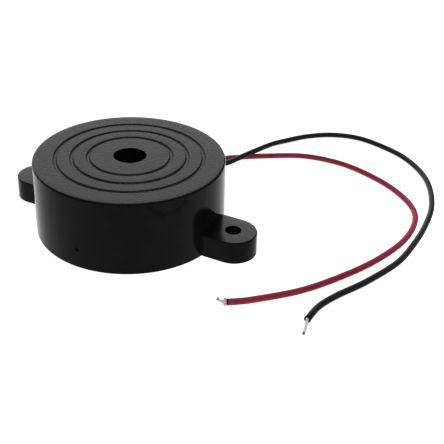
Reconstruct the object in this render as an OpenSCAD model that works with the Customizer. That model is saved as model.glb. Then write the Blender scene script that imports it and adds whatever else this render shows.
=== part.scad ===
// Round piezo buzzer in a black moulded case with two mounting ears and two
// flying leads. Millimetres, +Z up, origin on the base plane at the case axis.
// The ears lie along X and the leads leave the case towards +Y.

/* [Case] */
// Diameter of the case at its base
base_d = 42.1; // [41.6:0.1:43]
// Diameter of the case at its top face
top_d = 41.5; // [40.6:0.1:41.5]
// Height of the case
body_h = 16.45; // [16:0.05:18]
// Inner diameter of the case above the cover rebate
cavity_d = 37.2; // [36.8:0.1:37.4]
// Thickness of the top plate
top_t = 2; // [1.4:0.1:2.2]
// Radius that breaks the top rim
rim_r = 0.5; // [0.1:0.05:0.6]

/* [Top face] */
// Diameter of the sound port
port_d = 7.1; // [5:0.1:8]
// Length of the port's neck below the top plate
neck_h = 1.7; // [0.5:0.1:2]
// Number of ring grooves
groove_n = 3; // [1:1:3]
// Centre radius of the innermost groove
groove_r = 8.95; // [7:0.05:9.5]
// Radial step from one groove to the next
groove_step = 3.5; // [2:0.1:3.6]
// Width of a groove
groove_w = 0.9; // [0.7:0.05:1.2]
// Depth of a groove
groove_depth = 0.4; // [0.2:0.05:0.8]
// Slope of a groove's walls, as the inset of its floor on each side
groove_draft = 0.2; // [0:0.05:0.3]

/* [Mounting ears] */
// Distance between the two ear holes
ear_pitch = 50.4; // [50:0.1:54]
// Distance over the round ends of the two ears
ear_len = 60.8; // [60:0.1:62]
// Diameter of the ear holes
ear_hole_d = 3.4; // [2.6:0.1:4.5]
// Width of an ear at its top
ear_w = 10; // [8:0.1:10.4]
// Thickness of an ear
ear_h = 5.1; // [3:0.1:6]
// Extra half width of an ear at its foot
ear_draft = 0.15; // [0:0.05:0.4]

/* [Sounder disc] */
// Diameter of the brass disc
disc_d = 35; // [34.4:0.1:36]
// Thickness of the brass disc
disc_t = 0.3; // [0.15:0.05:0.4]
// Diameter of the ceramic
ceramic_d = 25; // [23:0.5:26]
// Thickness of the ceramic
ceramic_t = 0.25; // [0.15:0.05:0.3]
// Height of the resonator chamber above the disc
chamber_h = 3; // [2.6:0.1:3.4]

/* [Circuit board] */
// Diameter of the circuit board
board_d = 33.6; // [33:0.1:34.4]
// Thickness of the circuit board
board_t = 1.2; // [1:0.1:1.6]

/* [Leads] */
// Outer diameter of a lead
lead_d = 1.35; // [1.1:0.05:1.35]
// Diameter of the stranded core
core_d = 0.6; // [0.4:0.05:0.6]

/* [Hidden] */
$fn = 96;

base_r = base_d / 2;
top_r = top_d / 2;
cavity_r = cavity_d / 2;
rebate_r = cavity_r + 0.9;
cover_r = rebate_r - 0.05;
cover_z0 = 0.2;                     // the cover sits a little inside the base rim
cover_z1 = 1.8;
neck_t = 1.5;                       // wall of the port's neck
plate_z = body_h - top_t;           // underside of the top plate
ledge_z = body_h - top_t - chamber_h;  // face that the brass disc is glued to
chamber_r = disc_d / 2 - 0.9;
disc_z = ledge_z - disc_t;          // underside of the brass
ceramic_z = disc_z - ceramic_t;     // underside of the ceramic
film_t = 0.05;                      // silver and copper films
film_z = ceramic_z - film_t;
board_z0 = 6.2;
board_z1 = board_z0 + board_t;
copper_z = board_z1 + film_t;
solder_h = 0.6;
slot_w = 3.8;                       // lead slot in the wall, at +Y
slot_top = 3.4;
lead_z = 2.55;                      // leads in the slot
lead_x = 0.75;
leg_d = 0.5;                        // legs of the board parts
hole_d = 0.9;                       // drilled holes in the board

// places on the board, all as [x, y]
red_pad = [-1.5, 13];
black_pad = [1.5, 13];
legs_3 = [[-1.27, 0], [0, 0], [1.27, 0]];
coll_r = [-8.5, 0];
fb_r = [8.5, 0];
base_rr = [0, 6];
res_half = 3.8;                     // half the pitch of a resistor's legs
res_ends = [[-8.5, 3.8], [-8.5, -3.8], [8.5, 3.8], [8.5, -3.8], [-3.8, 6], [3.8, 6]];
main_pad = [-5, -9];
fb_pad = [5, -9];
ground_pad = [6.5, 10.5];
main_spot = [-4, -7];               // joints on the disc
fb_spot = [7.5, 0];
ground_spot = [7.5, 12.5];
tracks = [[red_pad, res_ends[0]], [res_ends[0], res_ends[4]], [res_ends[1], legs_3[0]],
    [res_ends[1], main_pad], [res_ends[5], legs_3[1]], [res_ends[5], res_ends[2]],
    [res_ends[3], fb_pad], [legs_3[2], [11.5, 0]], [[11.5, 0], [11.5, 8]],
    [[11.5, 8], black_pad]];
rib_az = [45, 135, 225, 315];

// lead routes, from the board, through the slot and out over the floor
floor_z = 0.7;
red_route = [[-1.5, 13, 5.4], [-1.5, 13, 4.6], [-1.4, 13.4, 3.4], [-1, 14.8, 2.6],
    [-lead_x, 16.5, lead_z], [-lead_x, 18, lead_z], [-lead_x, 20, lead_z], [-lead_x, 22, lead_z],
    [-lead_x, 24.5, 2.4], [0.5, 29.5, 1.3], [3, 34.5, 0.8], [8.5, 39.5, floor_z],
    [15.5, 44.5, floor_z], [23.5, 49, floor_z], [32.5, 50, floor_z], [40.5, 48, floor_z],
    [49, 43.5, floor_z], [55.5, 37, floor_z], [58, 30, floor_z], [57.5, 20.5, floor_z],
    [54, 10, floor_z], [49, 0.5, floor_z], [43.5, -7.5, floor_z], [37, -14, floor_z],
    [34, -16.5, floor_z], [31.8, -18.1, 0.85]];
red_tip = [[31.2, -18.3, 1.1], [30.5, -18.5, 1.5]];
black_route = [[1.5, 13, 5.4], [1.5, 13, 4.6], [1.4, 13.4, 3.4], [1, 14.8, 2.6],
    [lead_x, 16.5, lead_z], [lead_x, 18, lead_z], [lead_x, 20, lead_z], [lead_x, 22, lead_z],
    [1.5, 24.5, 2.5], [4, 27.5, 2.4], [7, 30, 2.35], [9, 33, 2.3],
    [10.5, 38, 2.2], [12.5, 44, 2.1], [14, 50, 1.5], [16, 55, 0.9],
    [20, 61, floor_z], [25.5, 65.5, floor_z], [32, 67.5, floor_z], [38.5, 66.5, floor_z],
    [47, 62.5, floor_z], [53.5, 56, floor_z], [57.5, 48.5, floor_z], [60, 39, floor_z],
    [60.5, 30, floor_z], [60, 21.5, floor_z], [58.5, 12, floor_z], [54.5, 2, floor_z],
    [50.5, -5.5, floor_z], [48.5, -10.5, floor_z], [47.9, -15.2, floor_z]];
black_tip = [[48.3, -16.7, 0.5], [48.6, -19.1, 0.35]];
lead_step = 6;

// --- curves -------------------------------------------------------------
function unit(v) = v / norm(v);
function cr(a, b, c, d, t) = 0.5 * (2 * b + (c - a) * t + (2 * a - 5 * b + 4 * c - d) * t * t
    + (3 * b - a - 3 * c + d) * t * t * t);
// smooth curve through the points p, with a point at least every step
function smooth(p, step) = [for (i = [0 : len(p) - 2])
    let (n = max(1, ceil(norm(p[i + 1] - p[i]) / step)))
    for (j = [0 : n - 1])
        cr(p[max(i - 1, 0)], p[i], p[i + 1], p[min(i + 2, len(p) - 1)], j / n),
    p[len(p) - 1]];
function along(p) = [for (i = [0 : len(p) - 1])
    unit(p[min(i + 1, len(p) - 1)] - p[max(i - 1, 0)])];
// one normal for each tangent in t, carried along without twist
function carried(t, i, n, done) = i == len(t) ? done :
    let (m = unit(n - (n * t[i]) * t[i])) carried(t, i + 1, m, concat(done, [m]));

// tube of outer radius ro around the points p; ri above 0 makes it hollow
module tube(p, ro, ri = 0, sides = 8) {
    t = along(p);
    n = carried(t, 0, [1, 0.2, 0.1], []);
    last = len(p) - 1;
    outer = [for (i = [0 : last]) for (k = [0 : sides - 1])
        p[i] + ro * (cos(360 * k / sides) * n[i] + sin(360 * k / sides) * cross(t[i], n[i]))];
    inner = ri > 0 ? [for (i = [0 : last]) for (k = [0 : sides - 1])
        p[i] + ri * (cos(360 * k / sides) * n[i] + sin(360 * k / sides) * cross(t[i], n[i]))] : [];
    m = len(outer);
    function at(i, k) = i * sides + k % sides;
    skin = [for (i = [0 : last - 1]) for (k = [0 : sides - 1])
        each [[at(i, k), at(i + 1, k), at(i + 1, k + 1)], [at(i, k), at(i + 1, k + 1), at(i, k + 1)]]];
    bore = [for (f = skin) [m + f[2], m + f[1], m + f[0]]];
    caps = [[for (k = [0 : sides - 1]) at(0, k)], [for (k = [sides - 1 : -1 : 0]) at(last, k)]];
    rims = [for (k = [0 : sides - 1]) each [
        [at(0, k), at(0, k + 1), m + at(0, k + 1)], [at(0, k), m + at(0, k + 1), m + at(0, k)],
        [at(last, k + 1), at(last, k), m + at(last, k)],
        [at(last, k + 1), m + at(last, k), m + at(last, k + 1)]]];
    polyhedron(points = concat(outer, inner),
        faces = ri > 0 ? concat(skin, bore, rims) : concat(skin, caps), convexity = 10);
}

// --- repeated shapes ----------------------------------------------------
module at2(p, z) { translate([p[0], p[1], z]) children(); }

// flat bar of width w between two board places
module bar(a, b, w, z, h) {
    d = b - a;
    translate([a[0], a[1], z]) rotate([0, 0, atan2(d[1], d[0])])
        translate([0, -w / 2, 0]) cube([norm(d), w, h]);
}

module wire_end(p, z0, z1) { at2(p, z0) cylinder(d = leg_d, h = z1 - z0, $fn = 24); }

// moulded resistor lying along Y under the board
module resistor() {
    translate([0, 0, board_z0 - 1.2]) rotate([90, 0, 0]) rotate_extrude($fn = 48)
        polygon([[0, -1.7], [0.8, -1.7], [1, -1.5], [1, -0.9], [0.8, -0.6], [0.8, 0.6],
            [1, 0.9], [1, 1.5], [0.8, 1.7], [0, 1.7]]);
}

// the two legs of a resistor, out of its ends and up through the board
module resistor_pair() {
    for (s = [-1, 1]) {
        translate([0, s * 1.7, board_z0 - 1.2]) rotate([-90 * s, 0, 0])
            cylinder(d = leg_d, h = res_half - 1.7, $fn = 24);
        translate([0, s * res_half, board_z0 - 1.2]) sphere(d = leg_d, $fn = 24);
        wire_end([0, s * res_half], board_z0 - 1.2, copper_z + solder_h + 0.1);
    }
}

// solder cone on the board; bored where a leg stands in it
module board_joint(p, r, bore) {
    at2(p, copper_z) difference() {
        cylinder(r1 = r, r2 = 0.4, h = solder_h, $fn = 32);
        if (bore > 0) translate([0, 0, -1]) cylinder(d = bore, h = solder_h + 2, $fn = 24);
    }
}

// --- pieces -------------------------------------------------------------
module housing() {
    wall_r = base_r - (base_r - top_r) * (body_h - rim_r) / body_h;
    end_x = ear_len / 2 - ear_w / 2;
    color([0.09, 0.09, 0.1]) difference() {
        union() {
            rotate_extrude($fn = 180) polygon(concat(
                [[rebate_r, 0], [base_r, 0]],
                [for (a = [0 : 22.5 : 90])
                    [wall_r - rim_r + rim_r * cos(a), body_h - rim_r + rim_r * sin(a)]],
                [for (i = [groove_n - 1 : -1 : 0]) let (r = groove_r + i * groove_step) each
                    [[r + groove_w / 2, body_h],
                    [r + groove_w / 2 - groove_draft, body_h - groove_depth],
                    [r - groove_w / 2 + groove_draft, body_h - groove_depth],
                    [r - groove_w / 2, body_h]]],
                [[port_d / 2, body_h], [port_d / 2, plate_z - neck_h],
                [port_d / 2 + neck_t, plate_z - neck_h], [port_d / 2 + neck_t, plate_z],
                [chamber_r, plate_z],
                [chamber_r, ledge_z], [cavity_r, ledge_z], [cavity_r, cover_z1],
                [rebate_r, cover_z1]]));
            for (s = [0, 180]) rotate([0, 0, s]) {
                translate([end_x, 0, 0])
                    cylinder(r1 = ear_w / 2 + ear_draft, r2 = ear_w / 2, h = ear_h);
                translate([rebate_r + 0.2, 0, 0]) rotate([90, 0, 90])
                    linear_extrude(end_x - rebate_r - 0.2)
                        polygon([[-ear_w / 2 - ear_draft, 0], [ear_w / 2 + ear_draft, 0],
                            [ear_w / 2, ear_h], [-ear_w / 2, ear_h]]);
            }
            // stops that the board is pressed against
            for (a = rib_az) rotate([0, 0, a])
                translate([16.2, -0.6, board_z1]) cube([cavity_r + 0.5 - 16.2, 1.2, 2.6]);
        }
        for (s = [-1, 1]) translate([s * ear_pitch / 2, 0, -1])
            cylinder(d = ear_hole_d, h = ear_h + 2, $fn = 64);
        translate([-slot_w / 2, cavity_r - 2, -1]) cube([slot_w, 5, slot_top + 1]);
    }
}

module back_cover() color([0.1, 0.1, 0.11]) union() {
    rotate_extrude($fn = 180) polygon([[0, cover_z0], [cover_r - 0.3, cover_z0],
        [cover_r, cover_z0 + 0.3], [cover_r, cover_z1], [0, cover_z1]]);
    // tongue that closes the lower part of the lead slot
    intersection() {
        translate([-slot_w / 2 + 0.05, cavity_r - 1, cover_z0])
            cube([slot_w - 0.1, 5, cover_z1 - cover_z0]);
        cylinder(r = base_r - 0.15, h = 4, $fn = 180);
    }
    // posts that carry the board
    for (a = rib_az) rotate([0, 0, a]) translate([15.2, 0, cover_z1 - 0.1])
        cylinder(d = 2.4, h = board_z0 - cover_z1 + 0.1, $fn = 32);
}

module brass_diaphragm() color([0.79, 0.65, 0.3])
    translate([0, 0, disc_z]) cylinder(d = disc_d, h = disc_t, $fn = 120);

module piezo_ceramic() color([0.86, 0.82, 0.72])
    translate([0, 0, ceramic_z]) cylinder(d = ceramic_d, h = ceramic_t, $fn = 120);

module film_disc() translate([0, 0, film_z]) cylinder(d = ceramic_d - 1.4, h = film_t, $fn = 120);
// tongue-shaped field of half width w on the +X side of the ceramic
module tongue(w) {
    translate([6.5, -w, film_z - 1]) cube([10, 2 * w, 2]);
    translate([6.5, 0, film_z - 1]) cylinder(r = w, h = 2, $fn = 48);
}
module main_electrode() color([0.82, 0.82, 0.8]) difference() { film_disc(); tongue(2.6); }
module feedback_electrode() color([0.82, 0.82, 0.8]) intersection() { film_disc(); tongue(2); }

module diaphragm_adhesive() color([0.85, 0.84, 0.8]) rotate_extrude($fn = 120) polygon([
    [disc_d / 2 - 0.6, disc_z - 0.5], [cavity_r, disc_z - 0.6], [cavity_r, ledge_z],
    [disc_d / 2, ledge_z], [disc_d / 2, disc_z], [disc_d / 2 - 0.6, disc_z]]);

module circuit_board() color([0.72, 0.53, 0.3]) difference() {
    translate([0, 0, board_z0]) cylinder(d = board_d, h = board_t, $fn = 120);
    for (p = concat([red_pad, black_pad], legs_3, res_ends))
        at2(p, board_z0 - 1) cylinder(d = hole_d, h = board_t + 2, $fn = 24);
}

module board_copper() color([0.75, 0.45, 0.25]) difference() {
    union() {
        for (p = concat([red_pad, black_pad], res_ends, [main_pad, fb_pad, ground_pad]))
            at2(p, board_z1) cylinder(r = 1, h = film_t, $fn = 32);
        for (p = legs_3) at2(p, board_z1) cylinder(r = 0.55, h = film_t, $fn = 32);
        for (t = tracks) bar(t[0], t[1], 0.7, board_z1, film_t);
        at2([11.5, 0], board_z1) cylinder(d = 0.7, h = film_t, $fn = 24);
        at2([11.5, 8], board_z1) cylinder(d = 0.7, h = film_t, $fn = 24);
    }
    for (p = concat([red_pad, black_pad], legs_3, res_ends))
        at2(p, board_z1 - 1) cylinder(d = hole_d, h = 3, $fn = 24);
}

// moulded transistor lying with its flat face towards the board
module transistor_body() color([0.12, 0.12, 0.12])
    translate([0, -2.4, board_z0 - 1.45]) rotate([90, 0, 0]) difference() {
        cylinder(r = 2.3, h = 4.6, $fn = 64);
        translate([-4, 1.3, -1]) cube([8, 3, 7]);
    }

module transistor_legs() color([0.75, 0.75, 0.74]) for (p = legs_3) {
    translate([p[0], -2.4, board_z0 - 1.3]) rotate([-90, 0, 0]) cylinder(d = leg_d, h = 2.4, $fn = 24);
    at2(p, board_z0 - 1.3) sphere(d = leg_d, $fn = 24);
    wire_end(p, board_z0 - 1.3, copper_z + solder_h + 0.1);
}

module collector_resistor_body() color([0.8, 0.7, 0.5]) translate([coll_r[0], coll_r[1], 0]) resistor();
module feedback_resistor_body() color([0.8, 0.7, 0.5]) translate([fb_r[0], fb_r[1], 0]) resistor();
module base_resistor_body() color([0.8, 0.7, 0.5])
    translate([base_rr[0], base_rr[1], 0]) rotate([0, 0, 90]) resistor();

module resistor_legs() color([0.75, 0.75, 0.74]) {
    translate([coll_r[0], coll_r[1], 0]) resistor_pair();
    translate([fb_r[0], fb_r[1], 0]) resistor_pair();
    translate([base_rr[0], base_rr[1], 0]) rotate([0, 0, 90]) resistor_pair();
}

module board_solder() color([0.78, 0.79, 0.8]) {
    for (p = res_ends) board_joint(p, 0.9, leg_d);
    for (p = legs_3) board_joint(p, 0.52, leg_d);
    for (p = [red_pad, black_pad]) board_joint(p, 0.9, core_d + 0.04);
    for (p = [main_pad, fb_pad, ground_pad]) board_joint(p, 0.9, 0);
}

module disc_joint(p, z) at2(p, z - 0.5) cylinder(r1 = 0.4, r2 = 1, h = 0.5, $fn = 32);
module disc_solder() color([0.78, 0.79, 0.8]) {
    disc_joint(main_spot, film_z);
    disc_joint(fb_spot, film_z);
    disc_joint(ground_spot, disc_z);
}

// link from a board joint at a up to a disc joint at b, slack in the middle
function link(a, b, z) = let (z0 = copper_z + solder_h, z1 = z - 0.5, m = (a + b) / 2)
    smooth([[a[0], a[1], z0], [a[0], a[1], z0 + 0.4], [m[0], m[1], (z0 + z1) / 2],
        [b[0], b[1], z1 - 0.4], [b[0], b[1], z1]], 1.2);
module main_jumper() color([0.2, 0.3, 0.6]) tube(link(main_pad, main_spot, film_z), 0.2);
module feedback_jumper() color([0.85, 0.8, 0.75]) tube(link(fb_pad, fb_spot, film_z), 0.2);
module ground_jumper() color([0.15, 0.15, 0.15]) tube(link(ground_pad, ground_spot, disc_z), 0.2);

// soft seal around the leads where they pass the wall
module lead_sealant() color([0.88, 0.87, 0.82]) difference() {
    union() {
        translate([-slot_w / 2, cavity_r - 1.4, cover_z1]) cube([slot_w, 2.9, slot_top - cover_z1]);
        translate([-2.8, cavity_r - 2.1, cover_z1]) cube([5.6, 1.2, 2.1]);
    }
    for (s = [-1, 1]) translate([s * lead_x, cavity_r - 4, lead_z]) rotate([-90, 0, 0])
        cylinder(d = lead_d + 0.04, h = 8, $fn = 32);
}

red_line = smooth(red_route, lead_step);
black_line = smooth(black_route, lead_step);
function core_line(line, tip) = let (p = line[0]) concat(
    [[p[0], p[1], copper_z + solder_h + 0.1], [p[0], p[1], board_z0 + 0.6]], line, tip);

module red_lead_insulation() color([0.6, 0.1, 0.17]) tube(red_line, lead_d / 2, core_d / 2 + 0.06);
module black_lead_insulation() color([0.14, 0.14, 0.15]) tube(black_line, lead_d / 2, core_d / 2 + 0.06);
module red_lead_conductor() color([0.75, 0.75, 0.74]) tube(core_line(red_line, red_tip), core_d / 2);
module black_lead_conductor() color([0.75, 0.75, 0.74]) tube(core_line(black_line, black_tip), core_d / 2);

housing();
back_cover();
brass_diaphragm();
piezo_ceramic();
main_electrode();
feedback_electrode();
diaphragm_adhesive();
circuit_board();
board_copper();
transistor_body();
transistor_legs();
collector_resistor_body();
base_resistor_body();
feedback_resistor_body();
resistor_legs();
board_solder();
disc_solder();
main_jumper();
feedback_jumper();
ground_jumper();
lead_sealant();
red_lead_insulation();
red_lead_conductor();
black_lead_insulation();
black_lead_conductor();
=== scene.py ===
import math

import bpy
import bmesh
import numpy as np
from mathutils import Matrix, Vector


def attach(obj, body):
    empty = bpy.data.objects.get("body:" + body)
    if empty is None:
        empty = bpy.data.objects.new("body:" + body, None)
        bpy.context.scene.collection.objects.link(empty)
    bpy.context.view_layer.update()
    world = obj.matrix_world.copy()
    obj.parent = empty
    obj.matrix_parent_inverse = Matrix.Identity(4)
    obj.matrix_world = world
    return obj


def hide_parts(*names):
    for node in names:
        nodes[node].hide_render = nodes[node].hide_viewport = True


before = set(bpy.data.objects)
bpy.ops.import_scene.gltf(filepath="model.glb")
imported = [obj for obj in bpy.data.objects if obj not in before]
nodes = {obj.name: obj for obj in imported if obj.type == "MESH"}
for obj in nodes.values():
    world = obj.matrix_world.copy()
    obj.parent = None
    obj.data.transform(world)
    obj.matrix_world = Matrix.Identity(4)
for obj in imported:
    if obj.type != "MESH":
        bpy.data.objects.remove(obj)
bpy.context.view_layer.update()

MM = 0.001
scene = bpy.context.scene

# ---------------------------------------------------------------- camera
# The image is a 444 x 444 frame. Its camera stands in front and to the right
# of the ear axis and looks down on the case.
FOCAL_PX = 728.65
cam_data = bpy.data.cameras.new("camera")
cam_data.sensor_fit = "HORIZONTAL"
cam_data.sensor_width = 36.0
cam_data.lens = 36.0 * FOCAL_PX / 444.0
cam_data.clip_start = 0.01
cam_data.clip_end = 20.0
cam_data.dof.use_dof = False
camera = bpy.data.objects.new("camera", cam_data)
scene.collection.objects.link(camera)
right = Vector((0.90107896, 0.43186614, 0.03934886))
down = Vector((0.25931579, -0.46387437, -0.84709851))
ahead = Vector((-0.34758024, 0.77350643, -0.52997715))
camera.matrix_world = Matrix((
    (right.x, -down.x, -ahead.x, 76.433 * MM),
    (right.y, -down.y, -ahead.y, -119.959 * MM),
    (right.z, -down.z, -ahead.z, 88.52 * MM),
    (0, 0, 0, 1)))
scene.camera = camera


# ---------------------------------------------------------------- meshes
def make(name, verts, faces, smooth=True):
    mesh = bpy.data.meshes.new(name)
    mesh.from_pydata([tuple(float(c) for c in v) for v in verts], [], faces)
    mesh.validate()
    mesh.update()
    if smooth:
        mesh.polygons.foreach_set("use_smooth", [True] * len(mesh.polygons))
    obj = bpy.data.objects.new(name, mesh)
    scene.collection.objects.link(obj)
    return obj


def catmull(points, step):
    """Smooth line through the points, in the same form as the solid's route."""
    p = [np.array(q, float) for q in points]
    out = []
    for i in range(len(p) - 1):
        a, b, c, d = p[max(i - 1, 0)], p[i], p[i + 1], p[min(i + 2, len(p) - 1)]
        n = max(1, math.ceil(np.linalg.norm(c - b) / step))
        for j in range(n):
            t = j / n
            out.append(0.5 * (2 * b + (c - a) * t + (2 * a - 5 * b + 4 * c - d) * t * t
                              + (3 * b - a - 3 * c + d) * t ** 3))
    out.append(p[-1])
    return np.array(out)


def frames_along(line):
    t = np.zeros_like(line)
    t[1:-1] = line[2:] - line[:-2]
    t[0], t[-1] = line[1] - line[0], line[-1] - line[-2]
    t /= np.linalg.norm(t, axis=1)[:, None]
    n = np.zeros_like(line)
    v = np.array([1.0, 0.2, 0.1])
    for i in range(len(line)):
        v = v - (v @ t[i]) * t[i]
        v /= np.linalg.norm(v)
        n[i] = v
    return t, n, np.cross(t, n)


def sweep(line, radii, sides, offsets=None):
    """Rings around line: (verts, faces), open at both ends."""
    t, n, b = frames_along(line)
    k = np.arange(sides) * 2 * math.pi / sides
    verts = []
    for i in range(len(line)):
        ring = line[i] + radii[i] * (np.cos(k)[:, None] * n[i] + np.sin(k)[:, None] * b[i])
        verts.extend(ring)
    faces = []
    for i in range(len(line) - 1):
        for j in range(sides):
            j2 = (j + 1) % sides
            faces.append((i * sides + j, i * sides + j2, (i + 1) * sides + j2, (i + 1) * sides + j))
    return verts, faces


# ---------------------------------------------------------------- leads
LEAD_R, BORE_R = 0.675, 0.36
Z0 = 0.7
red_route = [
    (-1.5, 13, 5.4), (-1.5, 13, 4.6), (-1.4, 13.4, 3.4), (-1, 14.8, 2.6),
    (-0.75, 16.5, 2.55), (-0.75, 18, 2.55), (-0.75, 20, 2.55), (-0.75, 22, 2.55),
    (-0.75, 24.5, 2.4), (0.5, 29.5, 1.3), (3, 34.5, 0.8), (8.5, 39.5, Z0),
    (15.5, 44.5, Z0), (23.5, 49, Z0), (32.5, 50, Z0), (40.5, 48, Z0),
    (49, 43.5, Z0), (55.5, 37, Z0), (58, 30, Z0), (57.5, 20.5, Z0),
    (54, 10, Z0), (49, 0.5, Z0), (43.5, -7.5, Z0), (37, -14, Z0),
    (34, -16.5, Z0), (31.8, -18.1, 0.85)]
red_tip = [(31.2, -18.3, 1.1), (30.5, -18.5, 1.5)]
black_route = [
    (1.5, 13, 5.4), (1.5, 13, 4.6), (1.4, 13.4, 3.4), (1, 14.8, 2.6),
    (0.75, 16.5, 2.55), (0.75, 18, 2.55), (0.75, 20, 2.55), (0.75, 22, 2.55),
    (1.5, 24.5, 2.5), (4, 27.5, 2.4), (7, 30, 2.35), (9, 33, 2.3),
    (10.5, 38, 2.2), (12.5, 44, 2.1), (14, 50, 1.5), (16, 55, 0.9),
    (20, 61, Z0), (25.5, 65.5, Z0), (32, 67.5, Z0), (38.5, 66.5, Z0),
    (47, 62.5, Z0), (53.5, 56, Z0), (57.5, 48.5, Z0), (60, 39, Z0),
    (60.5, 30, Z0), (60, 21.5, Z0), (58.5, 12, Z0), (54.5, 2, Z0),
    (50.5, -5.5, Z0), (48.5, -10.5, Z0), (47.9, -15.2, Z0)]
black_tip = [(48.3, -16.7, 0.5), (48.6, -19.1, 0.35)]
BOARD_TOP = 8.15


def finer_end(line, cuts):
    """The line with extra points at the distances cuts from its last point."""
    back = np.r_[0, np.cumsum(np.linalg.norm(np.diff(line[::-1], axis=0), axis=1))]
    rest = line[::-1][back > cuts[0] + 0.2]
    extra = np.array([[np.interp(c, back, line[::-1][:, i]) for i in range(3)] for c in cuts])
    return np.concatenate([rest[::-1], extra, line[-1:]])


def insulation(name, route, slant_deg, towards, pinch, flare):
    """Insulation of a lead: a round tube with cut ends that show its wall and bore.
    The free end is cut slant_deg off square, facing more towards the given direction.
    The stripping blade has pinched it just behind the cut and spread the cut edge."""
    line = finer_end(catmull(route, 0.55), (1.15, 1.0, 0.85, 0.7, 0.55, 0.45))
    sides = 24
    m = len(line)
    back = np.linalg.norm(line - line[-1], axis=1)
    radii = LEAD_R - pinch * np.clip(1 - np.abs(back - 0.6) / 0.35, 0, 1) + flare * np.clip(1 - back / 0.55, 0, 1)
    verts, faces = sweep(line * MM, radii * MM, sides)
    t, n, b = frames_along(line)
    k = np.arange(sides) * 2 * math.pi / sides
    u = np.array(towards, float)
    u = u - (u @ t[-1]) * t[-1]
    u *= math.tan(math.radians(slant_deg)) / np.linalg.norm(u)

    def slanted(p, end):
        """p moved along the lead onto the slanted cut"""
        return p if end == 0 else p - ((p - line[end]) @ u + LEAD_R * np.linalg.norm(u)) * t[end]

    for j in range((m - 1) * sides, m * sides):
        verts[j] = slanted(verts[j] / MM, m - 1) * MM
    ends = []
    band = [i * sides + j for i in range(m - 1) for j in range(sides) if 0.2 < (back[i] + back[i + 1]) / 2 < 0.85]
    for end, sign in ((0, -1.0), (m - 1, 1.0)):
        last = end * sides
        rings = []
        edge = radii[end]
        for r, s in ((edge - 0.015, 0.03), (edge - 0.05, 0.05), (0.5, 0.055), (BORE_R + 0.02, 0.05), (BORE_R, 0.02), (BORE_R, -1.6)):
            start = len(verts)
            c = line[end] + sign * s * t[end] - sign * 0.05 * t[end]
            verts.extend(slanted(c + r * (math.cos(a) * n[end] + math.sin(a) * b[end]), end) * MM for a in k)
            rings.append(start)
        prev = last
        for q, start in enumerate(rings):
            for j in range(sides):
                j2 = (j + 1) % sides
                f = (prev + j, prev + j2, start + j2, start + j)
                if sign < 0:
                    f = f[::-1]
                faces.append(f)
                if 1 <= q <= 4:
                    ends.append(len(faces) - 1)
            prev = start
    verts = [(x, y, max(z, 0.01 * MM)) for x, y, z in verts]
    obj = make(name, verts, faces)
    cut, band = set(ends), set(band)
    for i, poly in enumerate(obj.data.polygons):
        poly.material_index = 1 if i in cut else 2 if i in band else 0
    return obj, line


def strand_bundle(name, line_end_inside, tip, start_line, lay_mm, phase, flare):
    """Twisted tinned strands: those of the stripped end, and those of the end on the board."""
    verts, faces = [], []

    def strand(line, r, ring_r, turn, taper):
        """one strand at ring_r from line, turned by the angles in turn"""
        nonlocal verts, faces
        t, n, b = frames_along(line)
        centre = line + (ring_r * np.cos(turn))[:, None] * n + (ring_r * np.sin(turn))[:, None] * b
        rad = np.full(len(line), r)
        rad[0] *= 0.6
        rad[-1] *= taper
        v, f = sweep(centre * MM, rad * MM, 10)
        base = len(verts)
        verts.extend(v)
        faces.extend(tuple(base + i for i in q) for q in f)
        for ring, flip in ((0, False), (len(line) - 1, True)):
            c = [base + ring * 10 + j for j in range(10)]
            faces.append(tuple(c if flip else c[::-1]))

    for line, grow in ((line_end_inside, flare), (start_line, 0.0)):
        s = np.r_[0, np.cumsum(np.linalg.norm(np.diff(line, axis=0), axis=1))]
        u = s / s[-1]
        strand(line, 0.1, np.zeros(len(line)), np.zeros(len(line)), 0.7)
        for i in range(6):
            cut = 1.0 if i % 2 else 0.975
            keep = u <= cut
            sub = line[keep]
            ring = np.full(keep.sum(), 0.197) + grow * np.clip(u[keep] - 0.72, 0, 1) ** 2 * (0.6 + 0.4 * ((i * 7) % 5) / 4)
            strand(sub, 0.1, ring, phase + i * math.pi / 3 + s[keep] * 2 * math.pi / lay_mm, 0.72)
    return make(name, verts, faces)


def lead(colour, route, tip, lay_mm, phase, flare, slant_deg, towards, pinch, spread):
    tube, line = insulation(f"{colour}_lead_tube", route, slant_deg, towards, pinch, spread)
    inside = line[-7:]
    tip_line = catmull([tuple(inside[0]), tuple(line[-1]), *tip], 0.12)
    p = route[0]
    start_line = catmull([(p[0], p[1], p[2] - 0.7), (p[0], p[1], p[2] + 0.8), (p[0], p[1], BOARD_TOP)], 0.25)
    strands = strand_bundle(f"{colour}_lead_strands", tip_line, tip, start_line, lay_mm, phase, flare)
    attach(tube, "root")
    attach(strands, "root")
    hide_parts(f"{colour}_lead_insulation")
    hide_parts(f"{colour}_lead_conductor")
    return tube, strands


red_tube, red_strands = lead("red", red_route, red_tip, 3.4, 0.3, 1.6, 22, (0.3, -0.7, 0.6), 0.03, 0.09)
black_tube, black_strands = lead("black", black_route, black_tip, 3.0, 0.9, 0.9, 4, (0.3, 0, 0.9), 0.02, 0.05)

# ---------------------------------------------------------------- case
BASE_R, TOP_R, H = 21.05, 20.75, 16.45
CAVITY_R, REBATE_R, CHAMBER_R = 18.6, 19.5, 16.6
PORT_R, NECK_R, NECK_Z = 3.55, 5.05, H - 3.7
GROOVE_HW, GROOVE_FOOT, GROOVE_D = 0.45, 0.25, 0.4
EAR_X, EAR_END, EAR_H, EAR_HW, EAR_DRAFT, EAR_HOLE_R = 25.2, 30.4, 5.1, 5.0, 0.15, 1.7


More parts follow.
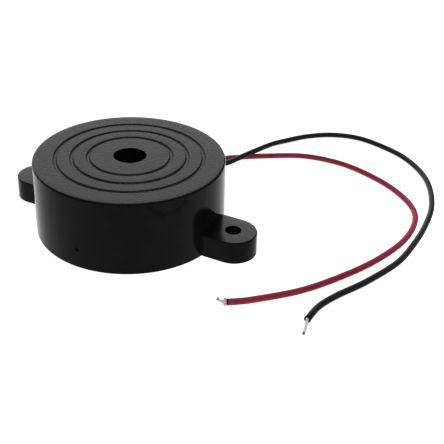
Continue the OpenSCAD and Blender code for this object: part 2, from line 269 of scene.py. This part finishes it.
def rounded(corners, n=4):
    """Closed outline with each corner (x, y, radius) rounded by n steps."""
    out = []
    m = len(corners)
    for i in range(m):
        p0, p1, p2 = (np.array(corners[(i + d) % m][:2], float) for d in (-1, 0, 1))
        r = corners[i][2]
        a, b = p0 - p1, p2 - p1
        la, lb = np.linalg.norm(a), np.linalg.norm(b)
        a, b = a / la, b / lb
        half = math.acos(max(-1, min(1, float(a @ b)))) / 2
        if r <= 0 or abs(half - math.pi / 2) < 1e-4:
            out.append(p1)
            continue
        cut = r / math.tan(half)
        c = p1 + (a + b) / np.linalg.norm(a + b) * (r / math.sin(half))
        s, e = p1 + a * cut - c, p1 + b * cut - c
        a0 = math.atan2(s[1], s[0])
        da = (math.atan2(e[1], e[0]) - a0 + math.pi) % (2 * math.pi) - math.pi
        out.extend(c + r * np.array([math.cos(a0 + da * k / n), math.sin(a0 + da * k / n)]) for k in range(n + 1))
    return np.array(out)


def revolve(name, outline, turns):
    m = len(outline)
    verts, faces = [], []
    for i in range(turns):
        c, s = math.cos(2 * math.pi * i / turns), math.sin(2 * math.pi * i / turns)
        verts.extend((x * c * MM, x * s * MM, z * MM) for x, z in outline)
    for i in range(turns):
        i2 = (i + 1) % turns
        for j in range(m):
            j2 = (j + 1) % m
            faces.append((i * m + j, i2 * m + j, i2 * m + j2, i * m + j2))
    return make(name, verts, faces)


def boxed(name, low, high):
    (x0, y0, z0), (x1, y1, z1) = low, high
    v = [(x * MM, y * MM, z * MM) for x in (x0, x1) for y in (y0, y1) for z in (z0, z1)]
    f = [(0, 1, 3, 2), (4, 6, 7, 5), (0, 4, 5, 1), (2, 3, 7, 6), (0, 2, 6, 4), (1, 5, 7, 3)]
    return make(name, v, f, smooth=False)


def boolean(target, tool, how):
    mod = target.modifiers.new("cut", "BOOLEAN")
    mod.operation = how
    mod.solver = "EXACT"
    mod.object = tool
    flatten(target)
    bpy.data.objects.remove(tool)


def flatten(obj):
    """Makes the modifiers' result the object's own mesh."""
    bpy.context.view_layer.update()
    done = bpy.data.meshes.new_from_object(obj.evaluated_get(bpy.context.evaluated_depsgraph_get()))
    old = obj.data
    obj.modifiers.clear()
    obj.data = done
    bpy.data.meshes.remove(old)


grooves = []
for r in (15.95, 12.45, 8.95):
    grooves += [(r + GROOVE_HW, H, 0.12), (r + GROOVE_FOOT, H - GROOVE_D, 0.15),
                (r - GROOVE_FOOT, H - GROOVE_D, 0.15), (r - GROOVE_HW, H, 0.12)]
# the outer edge of the top face falls away a little before the rim turns over
CROWN, CROWN_W = 0.1, 1.4
crown = [(TOP_R, H - CROWN, 0.5)]
crown += [(TOP_R - x, H - CROWN * (1 - x / CROWN_W) ** 2, 0) for x in (0.6, 0.75, 0.9, 1.05, 1.2, 1.35)]
profile = rounded([
    (REBATE_R, 0, 0.1), (BASE_R, 0, 0.1), *crown, *grooves,
    (PORT_R, H, 0.07), (PORT_R, NECK_Z, 0.1), (NECK_R, NECK_Z, 0.1), (NECK_R, H - 2, 0.1),
    (CHAMBER_R, H - 2, 0.3), (CHAMBER_R, H - 5, 0.1),
    (CAVITY_R, H - 5, 0.1), (CAVITY_R, 1.8, 0.1), (REBATE_R, 1.8, 0.1)])
case = revolve("case_shell", profile, 360)


def ear(side):
    """One ear: rings from the hole over the top and down the side, around the hole's axis."""
    count = 192
    k = (np.arange(count) + 0.5) * 2 * math.pi / count
    shift = EAR_END - EAR_HW - EAR_X

    def outline(hw):
        """points at angles k on the ear's plan outline of half width hw"""
        pts = []
        for a in k:
            c, s = math.cos(a), math.sin(a)
            side_hit = hw / abs(s) if abs(s) > 1e-9 else 1e9
            if side_hit * c >= shift:
                reach = shift * c + math.sqrt(hw * hw - (shift * s) ** 2)
            elif c < 0:
                reach = min(side_hit, (EAR_X - 19.7) / -c)
            else:
                reach = side_hit
            pts.append((reach * c, reach * s))
        return np.array(pts)

    def circle(r):
        return np.c_[r * np.cos(k), r * np.sin(k)]

    rings = []
    base = 0.02
    rings.append((circle(EAR_HOLE_R + 0.08), base))
    rings.append((circle(EAR_HOLE_R), base + 0.08))
    rings.append((circle(EAR_HOLE_R), EAR_H - 0.12))
    for a in (30, 60, 90):
        rings.append((circle(EAR_HOLE_R + 0.12 * (1 - math.cos(math.radians(a)))), EAR_H - 0.12 + 0.12 * math.sin(math.radians(a))))
    rings.append((circle(EAR_HOLE_R + 0.3), EAR_H))
    f = 0.3
    for a in (90, 67.5, 45, 22.5, 0):
        rings.append((outline(EAR_HW - f + f * math.cos(math.radians(a)) + EAR_DRAFT * f * (1 - math.sin(math.radians(a))) / EAR_H), EAR_H - f + f * math.sin(math.radians(a))))
    rings.append((outline(EAR_HW + EAR_DRAFT * 0.93), base + 0.06))
    rings.append((outline(EAR_HW + EAR_DRAFT * 0.93 - 0.018), base + 0.018))
    rings.append((outline(EAR_HW + EAR_DRAFT * 0.93 - 0.06), base))
    verts, faces = [], []
    for pts, z in rings:
        verts.extend((side * (EAR_X + x) * MM, side * y * MM, z * MM) for x, y in pts)
    m = len(rings)
    for i in range(m):
        i2 = (i + 1) % m
        for j in range(count):
            j2 = (j + 1) % count
            faces.append((i * count + j, i * count + j2, i2 * count + j2, i2 * count + j))
    obj = make("ear_tool", verts, faces)
    bm = bmesh.new()
    bm.from_mesh(obj.data)
    bmesh.ops.recalc_face_normals(bm, faces=bm.faces)
    bm.to_mesh(obj.data)
    bm.free()
    return obj


slot_cut = boxed("slot_tool", (-1.9, 16.5, -1), (1.9, 23, 3.4))
boolean(case, slot_cut, "DIFFERENCE")
for side in (1, -1):
    boolean(case, ear(side), "UNION")
for az in (45, 135, 225, 315):
    rib = boxed("rib_tool", (16.2, -0.6, 7.4), (CAVITY_R + 0.5, 0.6, 10.0))
    rib.data.transform(Matrix.Rotation(math.radians(az), 4, "Z"))
    boolean(case, rib, "UNION")
# a small pit low on the front of the wall
pit_mesh = bpy.data.meshes.new("pit_tool")
bm = bmesh.new()
bmesh.ops.create_icosphere(bm, subdivisions=3, radius=0.46 * MM, matrix=Matrix.Translation((-0.04 * MM, -21.06 * MM, 4.3 * MM)))
bm.to_mesh(pit_mesh)
bm.free()
pit_tool = bpy.data.objects.new("pit_tool", pit_mesh)
scene.collection.objects.link(pit_tool)
boolean(case, pit_tool, "DIFFERENCE")
weighted = case.modifiers.new("normals", "WEIGHTED_NORMAL")
weighted.mode = "FACE_AREA"
weighted.weight = 100
weighted.keep_sharp = True
case.data.set_sharp_from_angle(angle=math.radians(50))
# faces of the flat underside keep their own normal (set last, because marking sharp edges clears it)
case.data.polygons.foreach_set("use_smooth", [not (p.normal.z < -0.999 and p.center.z < 0.05 * MM) for p in case.data.polygons])
flatten(case)
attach(case, "root")
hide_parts("housing")


# ---------------------------------------------------------------- finishes
def principled(name):
    mat = bpy.data.materials.new(name)
    mat.use_nodes = True
    tree = mat.node_tree
    return mat, tree, tree.nodes["Principled BSDF"]


def node(tree, kind, **values):
    n = tree.nodes.new(kind)
    for key, value in values.items():
        if key in n.inputs:
            n.inputs[key].default_value = value
        else:
            setattr(n, key, value)
    return n


def finish_of(name, dark, light, rough, metallic=0.0, grain_mm=0.5, bump=0.0, bump_mm=0.2, rough_spread=0.06,
              coat=0.0, ior=1.5, specular=0.5, detail=4.0, stretch=(1, 1, 1)):
    """Procedural finish: two tones broken up by noise, uneven gloss and a fine surface grain."""
    mat, tree, bsdf = principled(name)
    links = tree.links
    coords = node(tree, "ShaderNodeTexCoord")
    mapping = node(tree, "ShaderNodeMapping", Scale=stretch)
    links.new(coords.outputs["Object"], mapping.inputs["Vector"])
    tone = node(tree, "ShaderNodeTexNoise", Scale=1 / (grain_mm * MM), Detail=detail, Roughness=0.6)
    links.new(mapping.outputs["Vector"], tone.inputs["Vector"])
    ramp = node(tree, "ShaderNodeValToRGB")
    ramp.color_ramp.elements[0].position = 0.3
    ramp.color_ramp.elements[1].position = 0.7
    ramp.color_ramp.elements[0].color = (*dark, 1)
    ramp.color_ramp.elements[1].color = (*light, 1)
    links.new(tone.outputs["Fac"], ramp.inputs["Fac"])
    links.new(ramp.outputs["Color"], bsdf.inputs["Base Color"])
    gloss = node(tree, "ShaderNodeMapRange")
    gloss.inputs["From Min"].default_value = 0.3
    gloss.inputs["From Max"].default_value = 0.7
    gloss.inputs["To Min"].default_value = max(0.02, rough - rough_spread)
    gloss.inputs["To Max"].default_value = min(1.0, rough + rough_spread)
    links.new(tone.outputs["Fac"], gloss.inputs["Value"])
    links.new(gloss.outputs["Result"], bsdf.inputs["Roughness"])
    bsdf.inputs["Metallic"].default_value = metallic
    bsdf.inputs["IOR"].default_value = ior
    bsdf.inputs["Specular IOR Level"].default_value = specular
    if coat:
        bsdf.inputs["Coat Weight"].default_value = coat
        bsdf.inputs["Coat Roughness"].default_value = 0.15
    if bump:
        fine = node(tree, "ShaderNodeTexNoise", Scale=1 / (bump_mm * MM), Detail=2.0, Roughness=0.5)
        links.new(mapping.outputs["Vector"], fine.inputs["Vector"])
        lift = node(tree, "ShaderNodeBump", Strength=bump, Distance=bump_mm * MM * 0.3)
        links.new(fine.outputs["Fac"], lift.inputs["Height"])
        links.new(lift.outputs["Normal"], bsdf.inputs["Normal"])
    return mat


case_side = finish_of("case_side", (0.0035, 0.0035, 0.004), (0.005, 0.005, 0.0056), 0.11, grain_mm=2.5, rough_spread=0.03,
                      bump=0.02, bump_mm=0.6)
case_top = finish_of("case_top", (0.0142, 0.0121, 0.0149), (0.0407, 0.0352, 0.0422), 0.3, grain_mm=0.6, rough_spread=0.1,
                     bump=0.75, bump_mm=0.45)
ear_top = finish_of("ear_top", (0.0035, 0.0035, 0.0038), (0.0055, 0.0055, 0.006), 0.16, grain_mm=0.5, rough_spread=0.03,
                    bump=0.05, bump_mm=0.35, specular=0.8)
# a faint dried mark on the wall under the rim: a dull arc around a slightly brighter patch
tree = case_side.node_tree
coords = node(tree, "ShaderNodeTexCoord")
wander = node(tree, "ShaderNodeTexNoise", Scale=1 / (1.3 * MM), Detail=3.0, Roughness=0.6)
tree.links.new(coords.outputs["Object"], wander.inputs["Vector"])
bent = node(tree, "ShaderNodeVectorMath", operation="MULTIPLY_ADD")
bent.inputs[1].default_value = (0.0034, 0.0034, 0.0034)
bent.inputs[2].default_value = (-0.0183, 0.0108, -0.0174)
tree.links.new(wander.outputs["Color"], bent.inputs[0])
from_mark = node(tree, "ShaderNodeVectorMath", operation="ADD")
tree.links.new(coords.outputs["Object"], from_mark.inputs[0])
tree.links.new(bent.outputs["Vector"], from_mark.inputs[1])
scaled = node(tree, "ShaderNodeVectorMath", operation="MULTIPLY")
scaled.inputs[1].default_value = (210.0, 210.0, 305.0)
tree.links.new(from_mark.outputs["Vector"], scaled.inputs[0])
reach = node(tree, "ShaderNodeVectorMath", operation="LENGTH")
tree.links.new(scaled.outputs["Vector"], reach.inputs[0])
dull = node(tree, "ShaderNodeValToRGB")
for e, (pos, v) in zip((dull.color_ramp.elements[0], dull.color_ramp.elements.new(0.55), dull.color_ramp.elements.new(0.8), dull.color_ramp.elements[-1]),
                       ((0.0, 0.6), (0.45, 0.56), (0.78, 0.2), (1.0, 0.5))):
    e.position = pos
    e.color = (v, v, v, 1)
tree.links.new(reach.outputs["Value"], dull.inputs["Fac"])
tree.links.new(dull.outputs["Color"], tree.nodes["Principled BSDF"].inputs["Specular IOR Level"])
case.data.materials.clear()
for mat in (case_side, case_top, ear_top):
    case.data.materials.append(mat)
for poly in case.data.polygons:
    up = poly.normal.z > 0.97
    z = poly.center.z / MM
    from_axis = math.hypot(poly.center.x, poly.center.y) / MM
    in_groove = z > H - GROOVE_D - 0.05 and PORT_R + 0.5 < from_axis < TOP_R - 1.5
    poly.material_index = 1 if in_groove or (up and z > H - CROWN - 0.02) else 2 if up and abs(z - EAR_H) < 0.02 else 0

red_pvc = finish_of("red_pvc", (0.25, 0.015, 0.035), (0.31, 0.022, 0.048), 0.42, grain_mm=1.2, bump=0.06, bump_mm=0.25, specular=0.35)
# the red lead's cut end face is painted pale pink: painted light standing in for the floor light and highlight on it,
# not the PVC's own red
red_cut_painted_light = finish_of("red_pvc_cut_painted_light", (0.7, 0.42, 0.36), (0.82, 0.58, 0.5), 0.6, grain_mm=0.2, bump=0.3, bump_mm=0.1)
# a darker band on the insulation just behind each cut end, over the faces 0.2 to 0.85 mm back from it
red_band = finish_of("red_pvc_dark_band", (0.05, 0.004, 0.008), (0.09, 0.007, 0.014), 0.5, grain_mm=0.4, bump=0.2, bump_mm=0.15, specular=0.35)
black_pvc = finish_of("black_pvc", (0.012, 0.012, 0.0117), (0.018, 0.018, 0.0175), 0.42, grain_mm=1.2, bump=0.06, bump_mm=0.25, specular=0.35)
black_band = finish_of("black_pvc_dark_band", (0.004, 0.004, 0.004), (0.007, 0.007, 0.007), 0.5, grain_mm=0.4, bump=0.2, bump_mm=0.15, specular=0.35)
black_cut = finish_of("black_pvc_cut", (0.004, 0.004, 0.004), (0.008, 0.008, 0.008), 0.6, grain_mm=0.2, bump=0.3, bump_mm=0.1)
for tube, outer, cut, band in ((red_tube, red_pvc, red_cut_painted_light, red_band), (black_tube, black_pvc, black_cut, black_band)):
    for mat in (outer, cut, band):
        tube.data.materials.append(mat)
    tube.visible_glossy = False
tinned = finish_of("tinned_strands", (0.7, 0.7, 0.67), (0.9, 0.9, 0.87), 0.3, metallic=0.2, grain_mm=0.18, rough_spread=0.1,
                   bump=0.25, bump_mm=0.08)
tinned_end = finish_of("tinned_strand_ends", (0.17, 0.17, 0.16), (0.3, 0.3, 0.29), 0.5, metallic=0.2, grain_mm=0.12, bump=0.3, bump_mm=0.08)
for obj, tip in ((red_strands, red_tip), (black_strands, black_tip)):
    obj.data.materials.append(tinned)
    obj.data.materials.append(tinned_end)
    obj.visible_glossy = False
    end = Vector(tip[-1]) * MM
    for poly in obj.data.polygons:
        poly.material_index = 1 if (poly.center - end).length < 0.42 * MM else 0

inner = {
    "back_cover": finish_of("cover_plastic", (0.008, 0.008, 0.0085), (0.013, 0.013, 0.014), 0.5, grain_mm=0.5, bump=0.3, bump_mm=0.2),
    "brass_diaphragm": finish_of("disc_brass", (0.5, 0.34, 0.12), (0.66, 0.47, 0.19), 0.32, metallic=1.0, grain_mm=0.8, bump=0.1,
                                 bump_mm=0.15, stretch=(1, 0.08, 1)),
    "piezo_ceramic": finish_of("piezo_ceramic", (0.56, 0.5, 0.38), (0.66, 0.6, 0.48), 0.75, grain_mm=0.2, bump=0.3, bump_mm=0.1),
    "main_electrode": finish_of("silver_film", (0.55, 0.55, 0.53), (0.72, 0.72, 0.7), 0.5, metallic=0.9, grain_mm=0.3, bump=0.2, bump_mm=0.12),
    "feedback_electrode": None,
    "diaphragm_adhesive": finish_of("adhesive", (0.55, 0.54, 0.5), (0.66, 0.65, 0.6), 0.4, grain_mm=1.5, bump=0.2, bump_mm=0.8),
    "circuit_board": finish_of("board_laminate", (0.3, 0.17, 0.065), (0.42, 0.26, 0.11), 0.55, grain_mm=0.6, bump=0.12, bump_mm=0.3),
    "board_copper": finish_of("copper_foil", (0.6, 0.26, 0.13), (0.74, 0.36, 0.19), 0.35, metallic=1.0, grain_mm=0.5, bump=0.1, bump_mm=0.2),
    "transistor_body": finish_of("mould_compound", (0.012, 0.012, 0.012), (0.02, 0.02, 0.02), 0.6, grain_mm=0.2, bump=0.3, bump_mm=0.1),
    "transistor_legs": finish_of("tinned_wire", (0.5, 0.5, 0.49), (0.66, 0.66, 0.65), 0.3, metallic=1.0, grain_mm=0.3, bump=0.1, bump_mm=0.1),
    "resistor_legs": None,
    "collector_resistor_body": finish_of("resistor_coat", (0.5, 0.36, 0.19), (0.6, 0.45, 0.26), 0.35, grain_mm=0.5, bump=0.15, bump_mm=0.3),
    "base_resistor_body": None,
    "feedback_resistor_body": None,
    "board_solder": finish_of("solder", (0.5, 0.5, 0.5), (0.68, 0.69, 0.7), 0.28, metallic=1.0, grain_mm=0.4, bump=0.2, bump_mm=0.3),
    "disc_solder": None,
    "main_jumper": finish_of("jumper_blue", (0.03, 0.07, 0.26), (0.05, 0.1, 0.34), 0.4, grain_mm=0.5, bump=0.1, bump_mm=0.2),
    "feedback_jumper": finish_of("jumper_white", (0.6, 0.58, 0.52), (0.72, 0.7, 0.64), 0.4, grain_mm=0.5, bump=0.1, bump_mm=0.2),
    "ground_jumper": finish_of("jumper_black", (0.012, 0.012, 0.012), (0.02, 0.02, 0.02), 0.4, grain_mm=0.5, bump=0.1, bump_mm=0.2),
    "lead_sealant": finish_of("sealant", (0.55, 0.53, 0.47), (0.66, 0.64, 0.58), 0.45, grain_mm=0.8, bump=0.3, bump_mm=0.5),
}
inner["feedback_electrode"] = inner["main_electrode"]
inner["resistor_legs"] = inner["transistor_legs"]
inner["base_resistor_body"] = inner["feedback_resistor_body"] = inner["collector_resistor_body"]
inner["disc_solder"] = inner["board_solder"]
for name, mat in inner.items():
    obj = nodes[name]
    obj.data.materials.clear()
    obj.data.materials.append(mat)

# ---------------------------------------------------------------- floor and light
floor = make("floor", [(-3, -3, 0), (3, -3, 0), (3, 3, 0), (-3, 3, 0)], [(0, 1, 2, 3)], smooth=False)
paper = finish_of("floor_paper", (0.9, 0.9, 0.9), (0.92, 0.92, 0.92), 0.9, grain_mm=40, specular=0.0)
glow = paper.node_tree.nodes["Principled BSDF"]
glow.inputs["Emission Color"].default_value = (1, 1, 1, 1)
glow.inputs["Emission Strength"].default_value = 0.8
floor.data.materials.append(paper)
floor.visible_glossy = False

world = bpy.data.worlds.new("studio")
scene.world = world
world.use_nodes = True
tree = world.node_tree
tree.nodes.clear()
out = tree.nodes.new("ShaderNodeOutputWorld")
back = tree.nodes.new("ShaderNodeBackground")
coords = tree.nodes.new("ShaderNodeTexCoord")


def along_axis(axis):
    """how far the world direction points along axis"""
    n = tree.nodes.new("ShaderNodeVectorMath")
    n.operation = "DOT_PRODUCT"
    n.inputs[1].default_value = axis
    tree.links.new(coords.outputs["Generated"], n.inputs[0])
    return n.outputs["Value"]


def graded(value, start, end, low, high):
    n = tree.nodes.new("ShaderNodeMapRange")
    n.interpolation_type = "SMOOTHSTEP"
    for key, v in zip(("From Min", "From Max", "To Min", "To Max"), (start, end, low, high)):
        n.inputs[key].default_value = v
    tree.links.new(value, n.inputs["Value"])
    return n.outputs["Result"]


# low down, brightness goes by compass direction: dim in front of the case, white behind it
shift = tree.nodes.new("ShaderNodeMath")
shift.operation = "ADD"
shift.inputs[1].default_value = 0.5
tree.links.new(along_axis((-0.5374 / 2, 0.8434 / 2, 0.0)), shift.inputs[0])
around = tree.nodes.new("ShaderNodeValToRGB")
around.color_ramp.interpolation = "LINEAR"
stops = [(0.0, 0.105), (0.31, 0.21), (0.5, 0.275), (0.62, 0.37), (0.7, 0.45), (0.78, 0.62), (0.86, 0.95), (0.92, 1.2), (0.96, 2.3)]
while len(around.color_ramp.elements) < len(stops):
    around.color_ramp.elements.new(0.5)
for e, (p, v) in zip(around.color_ramp.elements, stops):
    e.position = p
    e.color = (v, v, v, 1)
tree.links.new(shift.outputs["Value"], around.inputs["Fac"])
# higher up, a broad lit panel stands behind the case and a faint one hangs overhead
panel = tree.nodes.new("ShaderNodeMath")
panel.operation = "MULTIPLY_ADD"
tree.links.new(graded(along_axis((-0.4745, 0.7447, 0.469)), 0.57, 0.82, 0.0, 0.88), panel.inputs[0])
tree.links.new(graded(along_axis((-0.985, -0.174, 0)), -0.14, -0.02, 0.0, 1.0), panel.inputs[1])
panel.inputs[2].default_value = 0.07
overhead = graded(along_axis((-0.1838, 0.2884, 0.94)), 0.7, 0.98, 0.0, 0.12)
split = tree.nodes.new("ShaderNodeMix")
split.data_type = "FLOAT"
tree.links.new(graded(along_axis((0, 0, 1)), -0.2, 0.1, 0.0, 1.0), split.inputs[0])
tree.links.new(around.outputs["Color"], split.inputs[2])
tree.links.new(panel.outputs["Value"], split.inputs[3])
total = tree.nodes.new("ShaderNodeMath")
total.operation = "ADD"
tree.links.new(split.outputs[0], total.inputs[0])
tree.links.new(overhead, total.inputs[1])
tree.links.new(total.outputs["Value"], back.inputs["Strength"])
# a soft box above, which lights the floor and the leads and isn't mirrored by the case
box_data = bpy.data.lights.new("soft_box", "AREA")
box_data.shape = "SQUARE"
box_data.size = 0.7
box_data.energy = 1.9
soft_box = bpy.data.objects.new("soft_box", box_data)
soft_box.location = (0.02, 0.05, 0.8)
soft_box.visible_glossy = False
scene.collection.objects.link(soft_box)
# and two small fills, above the near ends of the leads and beside their outer bend
for name, spot, aim, size, power in (("near_fill", (0.06, -0.05, 0.06), (0.045, 0.0, 0.0), 0.06, 0.017),
                                     ("side_fill", (0.072, 0.028, 0.022), (0.058, 0.028, 0.0), 0.015, 0.0042)):
    fill_data = bpy.data.lights.new(name, "AREA")
    fill_data.shape = "SQUARE"
    fill_data.size = size
    fill_data.energy = power
    fill = bpy.data.objects.new(name, fill_data)
    fill.location = spot
    fill.rotation_mode = "QUATERNION"
    fill.rotation_quaternion = (Vector(aim) - Vector(spot)).to_track_quat("-Z", "Y")
    fill.visible_glossy = False
    fill.visible_camera = False
    scene.collection.objects.link(fill)
tree.links.new(back.outputs["Background"], out.inputs["Surface"])
scene.view_settings.view_transform = "Standard"
scene.view_settings.look = "None"
